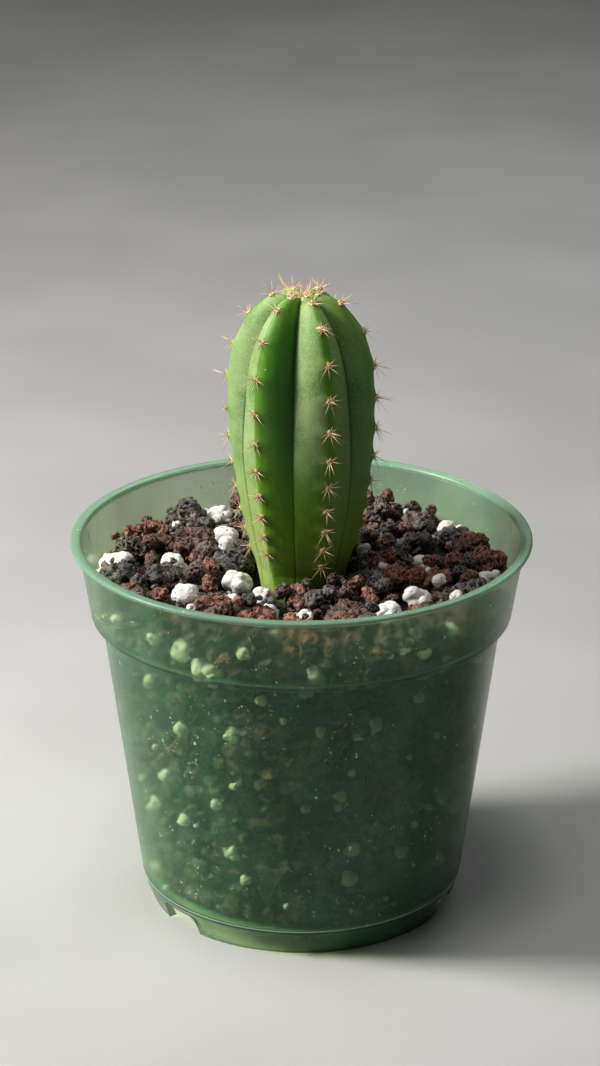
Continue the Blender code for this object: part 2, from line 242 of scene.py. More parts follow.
class Finish:
    """One material, built node by node on its piece's Object coordinates."""

    def __init__(self, name):
        self.material = bpy.data.materials.new(name)
        self.material.use_nodes = True
        self.tree = self.material.node_tree
        self.tree.nodes.clear()
        self.place = self.node("TexCoord", output="Object")

    def node(self, kind, settings=None, inputs=None, output=0):
        """Adds a node: its settings first, then the values or links of its sockets."""
        made = self.tree.nodes.new("ShaderNode" + kind)
        for key, value in (settings or {}).items():
            setattr(made, key, value)
        for key, value in (inputs or {}).items():
            if isinstance(value, Shade):
                self.tree.links.new(value.socket, made.inputs[key])
            else:
                made.inputs[key].default_value = value
        return Shade(self, made.outputs[output])

    def stretched(self, scale, turn=(0.0, 0.0, 0.0)):
        """The piece's coordinates, turned and scaled axis by axis."""
        return self.node("Mapping", {}, {"Vector": self.place, "Scale": scale, "Rotation": turn})

    def axis(self, name):
        return self.node("SeparateXYZ", {}, {0: self.place}, name)

    def noise(self, size, detail=2.0, rough=0.5, where=None):
        """Soft clouds, from about 0.2 to 0.8, whose patches are about this size across."""
        inputs = {"Vector": where or self.place, "Scale": 1 / size, "Detail": detail, "Roughness": rough}
        return self.node("TexNoise", {}, inputs)

    def bent(self, size, reach):
        """The piece's coordinates, wandering by up to reach, so that a pattern loses its regular shape."""
        inputs = {"Vector": self.place, "Scale": 1 / size, "Detail": 1.0}
        drift = self.node("TexNoise", {}, inputs, "Color")
        centred = self.vector(drift, "SUBTRACT", (0.5, 0.5, 0.5))
        return self.vector(centred, "MULTIPLY_ADD", (2 * reach,) * 3, self.place)

    def vector(self, first, operation, *others):
        return self.node("VectorMath", {"operation": operation}, dict(enumerate((first, *others))))

    def cells(self, size, feature="F1", where=None):
        """Distance from the nearest of scattered points, or edges, which lie about this size apart."""
        inputs = {"Vector": where or self.place, "Scale": 1 / size}
        return self.node("TexVoronoi", {"feature": feature}, inputs, "Distance")

    def attribute(self, name):
        return self.node("Attribute", {"attribute_name": name}, {}, "Fac")

    def mix(self, first, second, share):
        """Two colours, mixed by share: a number, or what varies over the surface."""
        colors = [c if isinstance(c, Shade) else (*c, 1.0) for c in (first, second)]
        return self.node("Mix", {"data_type": "RGBA"}, {0: share, 6: colors[0], 7: colors[1]}, 2)

    def layers(self, color, *layers):
        """A colour with (colour, share) layers over it, the last on top."""
        for layer, share in layers:
            color = self.mix(color, layer, share)
        return color

    def bump(self, height, depth, below=None):
        inputs = {"Height": height, "Distance": depth, "Strength": 1.0}
        if below:
            inputs["Normal"] = below
        return self.node("Bump", {}, inputs)

    def principled(self, **sockets):
        inputs = {}
        for key, value in sockets.items():
            if isinstance(value, tuple) and len(value) == 3 and "radius" not in key:
                value = (*value, 1.0)
            inputs[key.replace("_", " ").title().replace("Ior", "IOR")] = value
        return self.node("BsdfPrincipled", {}, inputs)

    def finish(self, shader=None, **sockets):
        """The material, of a shader or of the sockets of a principled one."""
        shader = shader or self.principled(**sockets)
        output = self.tree.nodes.new("ShaderNodeOutputMaterial")
        self.tree.links.new(shader.socket, output.inputs["Surface"])
        return self.material


def green_plastic(pot):
    """Translucent plastic: a green haze over what lies behind, milky in the thick lip, with scuffs, a painted
    highlight along the seam and painted shadow under the collar step.
    """
    f = Finish("green_plastic")
    height = f.axis("Z")
    flow = f.noise(8 * MM, 3.0, 0.55, f.stretched((1.0, 1.0, 0.45)))
    cloud = f.noise(24 * MM)
    lip = height.rise(pot.height - 1.6 * MM, pot.height - 0.9 * MM)
    seam_highlight = height.rise(pot.seam - 0.35 * MM, pot.seam) * height.rise(pot.seam + 0.35 * MM, pot.seam)
    step_shadow = height.rise(pot.step_z - 1.1 * MM, pot.step_z - 0.3 * MM)
    step_shadow = step_shadow * height.rise(pot.step_z + 1.0 * MM, pot.step_z)
    flakes = f.noise(1.5 * MM, 3.0, 0.75).rise(0.655, 0.690) * f.noise(16 * MM).rise(0.45, 0.57)
    dust = f.cells(1.1 * MM).rise(0.13, 0.06) * f.noise(9 * MM).rise(0.52, 0.68)
    slanted = f.stretched((1.0, 1.0, 0.22), turn=(0.35, 0.25, 0.0))
    scuffs = f.noise(0.9 * MM, 2.0, 0.6, slanted).rise(0.70, 0.74) * f.noise(10 * MM).rise(0.52, 0.66)
    marks = (flakes + scuffs * 0.5 + dust * 0.4).rise(0.0, 1.0)
    slits = f.cells(3.9 * MM, where=f.stretched((1.0, 1.0, 0.30), turn=(-0.5, 0.3, 0.0)))
    slits = slits.rise(0.110, 0.060) * f.noise(18 * MM).rise(0.50, 0.58) * (1 - lip)
    color = f.layers(
        (0.028, 0.140, 0.070),
        ((0.080, 0.250, 0.140), flow.rise(0.35, 0.68)),
        ((0.022, 0.095, 0.050), cloud.rise(0.46, 0.70) * 0.6),
        ((0.210, 0.370, 0.265), lip),
        # Painted highlight: a pale line along the seam ridge.
        ((0.460, 0.640, 0.520), seam_highlight),
        # Painted shadow: a darker band under the collar step.
        ((0.014, 0.060, 0.032), step_shadow * 0.9),
        ((0.72, 0.80, 0.70), marks * 0.9),
        ((0.030, 0.024, 0.016), slits),
    )
    ripple = f.noise(7 * MM)
    normal = f.bump(marks, 0.05 * MM, f.bump(ripple, 0.14 * MM))
    satin = 0.26 + ripple * 0.14 + marks * 0.3
    haze = f.principled(base_color=color, roughness=satin, normal=normal, specular_ior_level=0.25)
    clear = f.principled(
        base_color=(0.76, 0.88, 0.62), roughness=0.24, transmission_weight=1.0, ior=1.27, normal=normal
    )
    # The painted seam highlight and the painted step shadow also take more of the haze.
    milk = 0.22 + cloud.rise(0.35, 0.70) * 0.12 + lip * 0.35 + seam_highlight * 0.4
    milk = milk + step_shadow * 0.45 + marks * 0.6 + slits * 0.5
    plastic = f.node("MixShader", {}, {0: milk, 1: clear, 2: haze})
    open_to_light = f.node("BsdfTransparent", {}, {"Color": (0.88, 0.93, 0.82, 1.0)})
    shadow = f.node("LightPath", output="Is Shadow Ray")
    return f.finish(f.node("MixShader", {}, {0: shadow, 1: plastic, 2: open_to_light}))


def moist_mix():
    """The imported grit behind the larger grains: nearly black, with brown and green-black crumbs."""
    f = Finish("moist_mix")
    crumbs = f.cells(1.6 * MM, "DISTANCE_TO_EDGE")
    tone = f.noise(6 * MM, 3.0)
    color = f.mix((0.008, 0.007, 0.006), (0.055, 0.036, 0.026), tone.rise(0.4, 0.7))
    # Painted shade: the edges between the crumbs are near black.
    color = f.mix(color, (0.004, 0.004, 0.004), crumbs.rise(0.10, 0.0))
    relief = crumbs.rise(0.0, 0.35) + f.noise(0.5 * MM, 3.0) * 0.5
    return f.finish(base_color=color, roughness=0.88, normal=f.bump(relief, 0.6 * MM))


def lava(name, pit_shade, bodies, crest_highlights):
    """Scoria: honeycombed all over, with painted shade in its cavities, and paler on the walls between them,
    partly in random patches and partly as painted highlight on the ridges.
    """
    f = Finish(name)
    ridge = f.attribute("ridge")
    tone = (f.attribute("tone") + f.noise(5 * MM) * 0.4 - 0.2).rise(0.30, 0.70)
    bent = f.bent(0.5 * MM, 0.35 * MM)
    cells = f.cells(0.85 * MM, "DISTANCE_TO_EDGE", where=bent).rise(0.05, 0.30)
    small_cells = f.cells(0.42 * MM, "DISTANCE_TO_EDGE", where=bent).rise(0.05, 0.30)
    holes = cells * f.noise(2.2 * MM).rise(0.36, 0.52)
    pinholes = small_cells * f.noise(1.4 * MM).rise(0.40, 0.58)
    grain = f.noise(0.22 * MM, 3.0, 0.7)
    walls = (1 - holes) * 0.6 + (1 - pinholes) * 0.4
    patches = f.noise(2.6 * MM, 3.0, 0.6)
    # Partly random paler patches and grain, partly painted highlight on the ridges and cavity walls.
    light = (ridge * 0.7 + walls * 0.6 + grain * 0.6 + patches * 0.7 - 1.15).rise(0.0, 0.75)
    # Painted shade in the cavities and off the ridges.
    shade = (holes * 0.75 + pinholes * 0.45 + (1 - ridge) * 0.75).rise(0.30, 1.0)
    color = f.layers(f.mix(*bodies, tone), (f.mix(*crest_highlights, tone), light * 0.85), (pit_shade, shade))
    rough = 0.95 - light * 0.25
    normal = f.bump(walls + grain * 0.22, 0.42 * MM)
    return f.finish(base_color=color, roughness=rough, normal=normal, specular_ior_level=0.4)


def white_perlite():
    """Puffed white grains with a fine skin, a few dark pores, a little dirt, and painted shade in the folds
    between lobes.
    """
    f = Finish("white_perlite")
    ridge = f.attribute("ridge")
    tone = f.attribute("tone")
    pores = f.cells(1.2 * MM, where=f.bent(0.6 * MM, 0.3 * MM)).rise(0.24, 0.13)
    pores = pores * f.noise(2.2 * MM, 1.0).rise(0.44, 0.52)
    dirt = f.noise(1.6 * MM, 3.0, 0.6).rise(0.56, 0.76)
    color = f.layers(
        (0.74, 0.73, 0.71),
        ((0.56, 0.50, 0.42), dirt * 0.45),
        # Painted shade in the folds between lobes.
        ((0.40, 0.35, 0.30), ridge.rise(0.55, 0.0) * 0.6),
        ((0.62, 0.56, 0.45), tone.rise(0.55, 1.0) * 0.5),
        ((0.06, 0.045, 0.035), pores * 0.85),
    )
    relief = f.noise(0.5 * MM, 3.0, 0.6) * 0.55 + f.noise(1.4 * MM) * 0.8 - pores * 0.8
    return f.finish(
        base_color=color,
        roughness=0.75,
        normal=f.bump(relief, 0.26 * MM),
        subsurface_weight=0.12,
        subsurface_radius=(0.8, 0.7, 0.6),
        subsurface_scale=0.4 * MM,
    )


def cactus_skin():
    """Waxy skin: deep green with painted shade towards and in the creases, painted light on the crests, a
    pale bloom on the ribs' flanks that is partly painted sheen, and yellow-green at the foot and crown,
    partly painted light at the foot.
    """
    f = Finish("cactus_skin")
    crest = f.attribute("crest")
    height = f.attribute("height")
    near_areole = f.attribute("areole")
    wax_and_sheen = f.attribute("bloom_and_sheen")
    off = f.attribute("off")
    streaks = f.noise(1.2 * MM, 3.0, 0.6, f.stretched((1.0, 1.0, 0.10)))
    cloud = f.noise(9 * MM, 3.0, 0.55)
    powder = f.noise(0.32 * MM, 2.0, 0.7)
    bloom_and_sheen = wax_and_sheen * (cloud * 0.9 + powder * 0.9 - 0.15).rise(0.30, 0.95)
    fine = f.cells(0.62 * MM).rise(0.30, 0.12) * f.noise(4 * MM).rise(0.30, 0.55)
    speckled = 0.12 + wax_and_sheen.rise(0.0, 0.5) * 0.45 + height.rise(0.5, 0.2) * 0.2
    scars = f.cells(4.6 * MM).rise(0.055, 0.030) * f.noise(7 * MM, 1.0).rise(0.45, 0.53)
    color = f.layers(
        # The shaded flank colour, paled towards the crests by the next layer: painted shade in the creases
        # and painted light on the crests.
        (0.012, 0.080, 0.003),
        ((0.044, 0.180, 0.006), crest.rise(0.05, 0.75)),
        # Painted highlight: a pale strip along each crest.
        ((0.115, 0.290, 0.016), crest.rise(0.88, 1.0) * 0.55),
        # Yellow-green lower down: partly the skin's own colour, partly painted light on the lower flanks.
        ((0.190, 0.420, 0.008), height.rise(0.62, 0.15) * 0.65),
        # Pale yellow-green at the foot where the flanks face the key light: painted light, with some of the
        # skin's own colour.
        ((0.400, 0.490, 0.150), height.rise(0.42, 0.02) * (0.10 + wax_and_sheen * 0.65)),
        ((0.170, 0.340, 0.020), height.rise(0.88, 1.0) * 0.55),
        ((0.028, 0.120, 0.008), streaks.rise(0.50, 0.75) * 0.35),
        # Waxy bloom, partly painted sheen on the lit flanks.
        ((0.420, 0.520, 0.250), bloom_and_sheen * height.rise(-0.1, 0.45) * 0.66),
        ((0.360, 0.520, 0.200), fine * speckled),
        ((0.520, 0.580, 0.330), scars * 0.75),
        ((0.160, 0.290, 0.030), near_areole * 0.35),
        # Painted shade in the bottom of each crease.
        ((0.012, 0.040, 0.006), off.rise(0.965, 0.99) * 0.45),
    )
    skin = powder * 0.22 + f.noise(2.8 * MM) * 0.9 + scars * 0.3 + streaks * 0.25
    return f.finish(
        base_color=color,
        roughness=0.44 + bloom_and_sheen * 0.14 + powder * 0.10,
        normal=f.bump(skin, 0.10 * MM),
        subsurface_weight=0.08,
        subsurface_radius=(0.7, 1.0, 0.15),
        subsurface_scale=1.0 * MM,
        specular_ior_level=0.28,
    )


def spine_straw():
    """Straw-pink spines, browner at the tip and yellower when young."""
    f = Finish("spine_straw")
    tip = f.attribute("tip")
    color = f.mix((0.86, 0.60, 0.37), (0.62, 0.280, 0.130), tip.rise(0.40, 1.0))
    color = f.mix(color, (0.90, 0.72, 0.46), f.noise(3 * MM, 1.0).rise(0.48, 0.62) * 0.55)
    return f.finish(base_color=color, roughness=0.40)


def areole_wool():
    """Felted wool: cream and yellow on young areoles, tan and pink-brown on old ones."""
    f = Finish("areole_wool")
    young = f.attribute("young")
    felt = f.noise(0.20 * MM, 3.0, 0.7)
    old = f.mix((0.50, 0.28, 0.16), (0.88, 0.66, 0.46), felt.rise(0.36, 0.60))
    fresh = f.mix((0.62, 0.50, 0.22), (0.94, 0.86, 0.58), felt.rise(0.35, 0.58))
    color = f.mix(old, fresh, young)
    return f.finish(base_color=color, roughness=0.95, normal=f.bump(felt, 0.16 * MM))


def floor_paint():
    """Plain pale studio floor with a barely visible grain."""
    f = Finish("floor_paint")
    color = f.mix((0.44, 0.44, 0.44), (0.48, 0.48, 0.48), f.noise(0.12).rise(0.4, 0.6))
    return f.finish(base_color=color, roughness=0.75, normal=f.bump(f.noise(1.2 * MM), 0.04 * MM))


# ---- pieces


def new_object(name, data):
    """A new object in the scene."""
    obj = bpy.data.objects.new(name, data)
    bpy.context.scene.collection.objects.link(obj)
    return obj


def applied(obj):
    """The object's mesh with its modifiers applied, as a new mesh."""
    graph = bpy.context.evaluated_depsgraph_get()
    return bpy.data.meshes.new_from_object(obj.evaluated_get(graph))


def make_object(name, mesh, material):
    obj = new_object(name, mesh)
    mesh.materials.clear()
    mesh.materials.append(material)
    return obj


def mesh_from(name, bm, sharp_angle=None):
    """A smooth-shaded mesh; edges over sharp_angle stay crisp."""
    mesh = bpy.data.meshes.new(name)
    bm.to_mesh(mesh)
    bm.free()
    mesh.shade_smooth()
    if sharp_angle:
        mesh.set_sharp_from_angle(angle=math.radians(sharp_angle))
    return mesh


def add_piece(name, mesh, material, slot, *nodes):
    """A finished piece: it rides with the model. The slot argument is not used."""
    obj = make_object(name, mesh, material)
    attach(obj, "root")
    if nodes:
        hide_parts(*nodes)


def cone(bm, place, segments, radii, depth, capped=True):
    """The points of a new cone whose axis is the Z axis of a matrix."""
    return bmesh.ops.create_cone(
        bm, cap_ends=capped, segments=segments, radius1=radii[0], radius2=radii[1], depth=depth, matrix=place
    )["verts"]


# ---- pot


def arc(centre, radius, start, end, steps):
    """Points on an arc about (radius, height) centre, from one angle to another in degrees."""
    angles = [math.radians(start + (end - start) * i / steps) for i in range(steps + 1)]
    return [(centre[0] + radius * math.cos(a), centre[1] + radius * math.sin(a)) for a in angles]


class PotShape:
    """The pot's radii and heights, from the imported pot's box and the sizes above."""

    def __init__(self):
        low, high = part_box("nursery_pot")
        self.rim_radius = (high.x - low.x) / 2
        self.height = high.z
        self.collar_top = self.rim_radius - LIP_REACH
        self.collar_foot = self.collar_top - COLLAR_DRAW
        self.step_z = self.height - COLLAR_DEPTH
        self.wall_top = self.collar_foot - STEP_WIDTH
        self.wall_foot = self.wall_top - WALL_DRAW
        self.floor_top = FLOOR_HEIGHT + FLOOR_THICKNESS
        self.sole = self.wall_foot - FOOT_DRAW
        self.seam = self.floor_top + 0.2 * MM

    def inner_radius(self, height):
        if height >= self.step_z + WALL_THICKNESS:
            share = (height - self.step_z) / COLLAR_DEPTH
            return self.collar_foot + COLLAR_DRAW * share - WALL_THICKNESS
        share = (height - FLOOR_HEIGHT) / (self.step_z - FLOOR_HEIGHT)
        return self.wall_foot + WALL_DRAW * share - WALL_THICKNESS

    def outer_wall(self, height):
        share = (height - self.floor_top) / (self.step_z - self.floor_top)
        return self.wall_foot + WALL_DRAW * share

    def profile(self):
        """Closed section: down the outside, under the foot and floor, and up the inside."""
        edge = LIP_THICKNESS / 2
        collar_round = 0.8 * MM
        fillet = 0.4 * MM
        sole_round = 0.8 * MM
        points = arc((self.rim_radius - edge, self.height - edge), edge, 90, -90, 10)
        points += arc((self.collar_top + fillet, self.height - LIP_THICKNESS - fillet), fillet, 90, 180, 3)
        points += self.straight(points[-1], (self.collar_foot, self.step_z + collar_round), 8)
        points += arc((self.collar_foot - collar_round, self.step_z + collar_round), collar_round, 0, -90, 6)
        points += arc((self.wall_top + fillet, self.step_z - fillet), fillet, 90, 180, 3)
        above_seam = (self.outer_wall(self.seam + SEAM_RIDGE), self.seam + SEAM_RIDGE)
        points += self.straight(points[-1], above_seam, 26)
        points += [(self.outer_wall(self.seam) + SEAM_RIDGE, self.seam)]
        points += [(self.outer_wall(self.seam), self.seam - SEAM_RIDGE)]
        foot_bend = (self.wall_foot - 0.35 * FOOT_DRAW, 0.5 * self.floor_top)
        points += self.straight(points[-1], foot_bend, 4)
        points += arc((self.sole, sole_round), sole_round, 8, -90, 6)
        points += [(self.sole - FOOT_THICKNESS, 0.0), (self.wall_foot - FOOT_THICKNESS, FLOOR_HEIGHT)]
        points += [(CENTRE_DRAIN_RADIUS, FLOOR_HEIGHT), (CENTRE_DRAIN_RADIUS, self.floor_top)]
        floor_edge = self.inner_radius(self.floor_top + WALL_THICKNESS)
        corner = (floor_edge - WALL_THICKNESS, self.floor_top + WALL_THICKNESS)
        points += arc(corner, WALL_THICKNESS, -90, 0, 4)
        below, above = self.step_z - fillet, self.step_z + WALL_THICKNESS
        points += self.straight(points[-1], (self.inner_radius(below), below), 26)
        points += [(self.wall_top - WALL_THICKNESS / 2, above)]
        points += [(self.collar_foot - WALL_THICKNESS - fillet, above)]
        points += [(self.inner_radius(above + fillet), above + fillet)]
        under_lip = (self.collar_top - WALL_THICKNESS, self.height - LIP_THICKNESS)
        points += self.straight(points[-1], under_lip, 8)
        points += arc((self.collar_top, self.height - WALL_THICKNESS), WALL_THICKNESS, 180, 110, 4)
        return points

    @staticmethod
    def straight(start, end, steps):
        """Evenly spaced points from start, which is left out, to end."""
        shares = [(i + 1) / steps for i in range(steps)]
        return [(start[0] + (end[0] - start[0]) * s, start[1] + (end[1] - start[1]) * s) for s in shares]


def spun(profile, segments):
    """Turns a closed (radius, height) profile about the Z axis."""
    bm = bmesh.new()
    ring = [bm.verts.new((radius, 0.0, height)) for radius, height in profile]
    edges = [bm.edges.new((ring[i], ring[(i + 1) % len(ring)])) for i in range(len(ring))]
    turn = {"cent": (0, 0, 0), "axis": (0, 0, 1), "angle": math.tau}
    bmesh.ops.spin(bm, geom=ring + edges, steps=segments, use_merge=True, **turn)
    bmesh.ops.remove_doubles(bm, verts=bm.verts[:], dist=1e-7)
    bmesh.ops.recalc_face_normals(bm, faces=bm.faces[:])
    return bm


def cut_with(mesh, cutters):
    """The mesh less each cutter, as a new mesh. The cutters are meshes of closed blocks."""
    target = new_object("cut_target", mesh)
    blocks = [new_object("cut_block", cutter) for cutter in cutters]
    for block in blocks:
        boolean = target.modifiers.new("cut", "BOOLEAN")
        boolean.operation = "DIFFERENCE"
        boolean.object = block
    result = applied(target)
    for obj in [target, *blocks]:
        bpy.data.objects.remove(obj)
    return result


def notch_blocks(pot):
    """Blocks across the foot ring with rounded upper corners."""
    clearance = 2 * MM
    inner = pot.sole - FOOT_THICKNESS - clearance
    length = pot.wall_foot + clearance - inner
    height = FLOOR_HEIGHT - NOTCH_LINTEL
    bm = bmesh.new()
    for i in range(NOTCH_COUNT):
        azimuth = NOTCH_AZIMUTH + 360 * i / NOTCH_COUNT
        turn = Matrix.Rotation(math.radians(azimuth), 4, "Z")
        place = Matrix.Translation(around(azimuth, inner + length / 2)) @ turn
        size = Matrix.Diagonal((NOTCH_WIDTH, length, 2 * height, 1.0))
        block = set(bmesh.ops.create_cube(bm, size=1.0, matrix=place @ size)["verts"])
        outward = around(azimuth, 1.0)
        upper = [
            e
            for e in bm.edges
            if set(e.verts) <= block
            and e.verts[0].co.z > 0 < e.verts[1].co.z
            and abs((e.verts[1].co - e.verts[0].co).normalized().dot(outward)) > 0.9
        ]
        bmesh.ops.bevel(
            bm, geom=upper, offset=NOTCH_CORNER, segments=8, profile=0.5, affect="EDGES", material=-1
        )
    return mesh_from("notch_blocks", bm)


def drain_blocks(pot):
    bm = bmesh.new()
    for i in range(DRAIN_COUNT):
        place = around(360 * i / DRAIN_COUNT, DRAIN_CIRCLE_RADIUS, (FLOOR_HEIGHT + pot.floor_top) / 2)
        cone(bm, Matrix.Translation(place), 40, (DRAIN_RADIUS, DRAIN_RADIUS), 4 * FLOOR_THICKNESS)
    return mesh_from("drain_blocks", bm)


def make_pot(pot, material):
    """The turned shell, a touch out of round as thin moulded plastic is."""
    bm = spun(pot.profile(), POT_SEGMENTS)
    mesh = cut_with(mesh_from("pot_shell", bm), [drain_blocks(pot), notch_blocks(pot)])
    for vert in mesh.vertices:
        lean = noise.noise(Vector((vert.co.x * 14, vert.co.y * 14, vert.co.z * 10)))
        give = 0.22 * MM * lean * smoothstep(0.0, pot.height, vert.co.z)
        vert.co += from_axis(vert.co).normalized() * give
    mesh.shade_smooth()
    mesh.set_sharp_from_angle(angle=math.radians(50))
    add_piece("nursery_pot_shell", mesh, material, "green_plastic", "nursery_pot")


# ---- stem


class StemShape:
    """The ribbed column: its crest profile, its ribs and where its areoles lie."""

    def __init__(self, pot):
        self.ground = pot.height - STONE_TOP_DEPTH
        self.top = self.ground + STEM_HEIGHT
        self.widest = self.ground + WIDEST_SHARE * STEM_HEIGHT
        self.root_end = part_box("cactus_stem")[0].z
        self.crest_line = [self.crest_point(i / 900) for i in range(901)]
        self.areoles = [self.areoles_of(rib) for rib in range(RIB_COUNT)]

    def crest_radius(self, height):
        share = (self.widest - height) / (self.widest - self.ground)
        if share <= 1:
            return STEM_RADIUS - (STEM_RADIUS - STEM_FOOT_RADIUS) * share**2
        below = (self.ground - height) / (self.ground - self.root_end)
        return STEM_FOOT_RADIUS + (ROOT_RADIUS - STEM_FOOT_RADIUS) * min(1.0, below)

    def crest_point(self, polar_share):
        """(radius, height) on a rib's crest, from the crown (0) to the end of the root (1)."""
        dome_end, root_start = 0.42, 0.95
        if polar_share < dome_end:
            angle = math.pi / 2 * polar_share / dome_end
            rise = math.cos(angle) ** (2 / CROWN_FULLNESS)
            sunk = max(0.0, 1 - math.sin(angle) / CROWN_DIP_REACH) ** 1.5
            height = self.widest + (self.top - self.widest) * rise - CROWN_DIP * sunk
            return STEM_RADIUS * math.sin(angle), height
        if polar_share < root_start:
            share = (polar_share - dome_end) / (root_start - dome_end)
            height = self.widest + (self.root_end - self.widest) * share
            return self.crest_radius(height), height
        share = (polar_share - root_start) / (1 - root_start)
        return ROOT_RADIUS * (1 - share), self.root_end

    def share_up(self, height):
        return (height - self.ground) / STEM_HEIGHT

    def crease(self, height_share):
        """Radius in a crease as a share of the crest's: shallow at the foot and deep at the crown."""
        if height_share < 0:
            return min(1.0, CREASE_AT_FOOT - height_share)
        deepening = max(0.0, height_share - CROWN_CREASE_START) ** 1.5
        return CREASE_AT_FOOT - CREASE_LOSS * height_share - CROWN_CREASE_LOSS * deepening

    def wave(self, off, height_share):
        """1 on a crest (off 0), 0 in a crease (off 1): flat-sided at the foot and round above."""
        soft = CREST_SOFTNESS
        off = (math.hypot(off, soft) - soft) / (math.hypot(1, soft) - soft)
        half = math.pi / RIB_COUNT
        flat = (math.cos(half) / math.cos(half * (1 - off)) - math.cos(half)) / (1 - math.cos(half))
        flatness = max(0.0, min(1.0, 1 - height_share / FLAT_SHARE))
        return flatness * flat + (1 - flatness) * (1 - off**RIB_ROUNDNESS)

    def rib_azimuth(self, rib):
        return FIRST_RIB_AZIMUTH + 360 * rib / RIB_COUNT

    def areoles_of(self, rib):
        """(radius, height, outward tilt) of each areole of a rib, from the foot up to the growing point."""
        path = [p for p in reversed(self.crest_line) if p[1] > self.ground + FIRST_AREOLE[rib % 2]]
        found, run, target = [], 0.0, 0.0
        for here, ahead in zip(path, path[1:]):
            if run >= target and here[0] > LAST_AREOLE_RADIUS:
                tilt = math.degrees(math.atan2(here[0] - ahead[0], ahead[1] - here[1]))
                found.append((*here, tilt))
                spacing = FIRST_SPACING + SPACING_GROWTH[rib % 2] * (len(found) - 1)
                target += min(spacing, 0.55 * here[0] + 0.6 * MM)
            run += math.dist(here, ahead)
        return found

    def skin(self, azimuth, polar_share):
        """(point, crest, nearness to an areole, bloom and painted sheen, share of the way to the crease) at
        an azimuth.
        """
        radius, height = self.crest_point(polar_share)
        pitch = 360 / RIB_COUNT
        turned = azimuth - FIRST_RIB_AZIMUTH
        rib = round(turned / pitch)
        across = (turned - rib * pitch) / (pitch / 2)
        off = abs(across)
        share = self.share_up(height)
        wave = self.wave(off, share)
        near = 0.0
        for areole_radius, areole_height, _ in self.areoles[rib % RIB_COUNT]:
            gap = math.hypot(height - areole_height, radius - areole_radius)
            near = max(near, math.exp(-((gap / AREOLE_REACH) ** 2)))
        crease = self.crease(share)
        reach = radius * (crease + (1 - crease) * wave)
        calm = smoothstep(0.0, 5 * MM, radius)
        swelling = AREOLE_SWELLING * (near - 0.35) * max(0.0, 1 - off / 0.5) ** 1.5 * calm
        groove = GROOVE_DEPTH * math.exp(-(((1 - off) * radius / GROOVE_WIDTH) ** 2)) * calm
        rise = max(0.0, min(1.0, (height - self.widest) / (self.top - self.widest)))
        sunk = max(0.0, 1 - radius / STEM_RADIUS / CROWN_DIP_REACH) ** 1.5
        drop = CREASE_DROP * (1 - wave) * rise**3 * (1 - sunk)
        point = around(azimuth, reach + swelling - groove, height - drop)
        wander = SKIN_WANDER * noise.noise(Vector((point.x * 90, point.y * 90, point.z * 45)))
        point += from_axis(point).normalized() * wander * calm
        # Waxy bloom and painted sheen, flank by flank, strongest on the flanks that face the key light.
        upper, foot = (bloom_and_sheen[rib % RIB_COUNT][across > 0] for bloom_and_sheen in (UPPER_BLOOM_AND_SHEEN, FOOT_BLOOM_AND_SHEEN))
        flank = foot + (upper - foot) * smoothstep(0.25, 0.6, share)
        band = CREST_BAND[rib % RIB_COUNT]
        bloom_and_sheen = flank * smoothstep(0.1 * band, band, off) * smoothstep(1.0, 0.90, off)
        return point, wave, near * max(0.0, 1 - off / 0.5), bloom_and_sheen, off


def make_stem(stem, material):
    """A ball's rings and meridians, drawn out into the ribbed column."""
    bm = bmesh.new()
    bmesh.ops.create_uvsphere(bm, u_segments=STEM_SEGMENTS, v_segments=STEM_RINGS, radius=1.0)
    layers = [bm.verts.layers.float.new(key) for key in ("crest", "areole", "bloom_and_sheen", "off")]
    height_layer = bm.verts.layers.float.new("height")
    for vert in bm.verts:
        polar_share = math.acos(max(-1.0, min(1.0, vert.co.z))) / math.pi
        azimuth = FIRST_RIB_AZIMUTH + math.degrees(math.atan2(vert.co.x, -vert.co.y))
        vert.co, *values = stem.skin(azimuth, polar_share)
        for layer, value in zip(layers, values):
            vert[layer] = value
        vert[height_layer] = stem.share_up(vert.co.z)
    bmesh.ops.recalc_face_normals(bm, faces=bm.faces[:])
    add_piece("cactus_stem_skin", mesh_from("stem_skin", bm), material, "cactus_skin", "cactus_stem")


# ---- spines and wool


def aimed(point, direction, spin=0.0):
    """A matrix that takes +Z to a direction at a point."""
    turn = direction.to_track_quat("Z", "Y").to_matrix().to_4x4()
    return Matrix.Translation(point) @ turn @ Matrix.Rotation(spin, 4, "Z")


def cluster_frame(stem, rib, areole):
    """The point, outward direction, upward direction and sideways direction of an areole."""
    radius, height, tilt = areole
    azimuth = stem.rib_azimuth(rib)
    point = around(azimuth, radius + AREOLE_SWELLING * 0.2, height)
    flat_out = around(azimuth, 1.0)
    lift = math.radians(tilt)
    outward = flat_out * math.cos(lift) + Vector((0, 0, math.sin(lift)))
    up = Vector((0, 0, math.cos(lift))) - flat_out * math.sin(lift)
    return point, outward, up, up.cross(outward)


